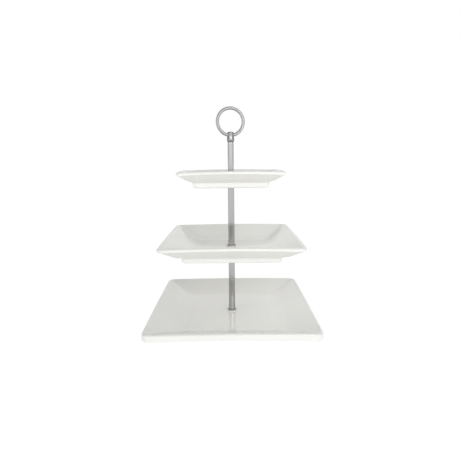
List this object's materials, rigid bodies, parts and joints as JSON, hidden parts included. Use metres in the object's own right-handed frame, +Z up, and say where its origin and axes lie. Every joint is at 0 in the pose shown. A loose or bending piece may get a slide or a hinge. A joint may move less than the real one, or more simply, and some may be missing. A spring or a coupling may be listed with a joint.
{
  "type": "tiered cake stand",
  "caption": "Tiered serving stand: square white porcelain plates of falling size on a chromed rod column, with a ring on top to carry it by.",
  "frame": {"origin": "on the table, under the middle of the bottom plate's foot", "axes": "+Z up along the column, +X and +Y along the sides of the square plates, -Y is the front"},
  "size_m": [0.26, 0.26, 0.3533],
  "materials": {
    "white_glaze": "glossy",
    "chrome": "polished",
    "plain_steel": "satin",
    "white_nylon": "matt",
    "seal_rubber": "matt"
  },
  "bodies": {
    "bottom_tier": {"bottom_plate": "white_glaze"},
    "column": {"base_screw": "plain_steel", "base_steel_washer": "plain_steel", "base_seal_washer": "seal_rubber", "bottom_upper_pad": "white_nylon", "bottom_collar": "chrome", "lower_rod": "chrome", "middle_lower_pad": "white_nylon", "middle_stud": "plain_steel", "middle_upper_pad": "white_nylon", "middle_collar": "chrome", "middle_rod": "chrome", "top_lower_pad": "white_nylon", "top_stud": "plain_steel", "top_upper_pad": "white_nylon", "top_collar": "chrome", "upper_rod": "chrome", "finial_stud": "plain_steel", "finial": "chrome"},
    "middle_tier": {"middle_plate": "white_glaze"},
    "top_tier": {"top_plate": "white_glaze"},
    "ring": {"carrying_ring": "chrome"}
  },
  "joints": [
    {"name": "column_turn", "type": "hinge", "parent": "bottom_tier", "child": "column", "pos_m": [0, 0, 0.012], "axis": [0, 0, 1], "continuous": true},
    {"name": "middle_plate_turn", "type": "hinge", "parent": "column", "child": "middle_tier", "pos_m": [0, 0, 0.1259], "axis": [0, 0, 1], "continuous": true},
    {"name": "top_plate_turn", "type": "hinge", "parent": "column", "child": "top_tier", "pos_m": [0, 0, 0.2361], "axis": [0, 0, 1], "continuous": true},
    {"name": "ring_swing", "type": "hinge", "parent": "column", "child": "ring", "pos_m": [0, 0, 0.30902], "axis": [0.9781, 0.2079, 0], "range_deg": [-165, 165]}
  ]
}
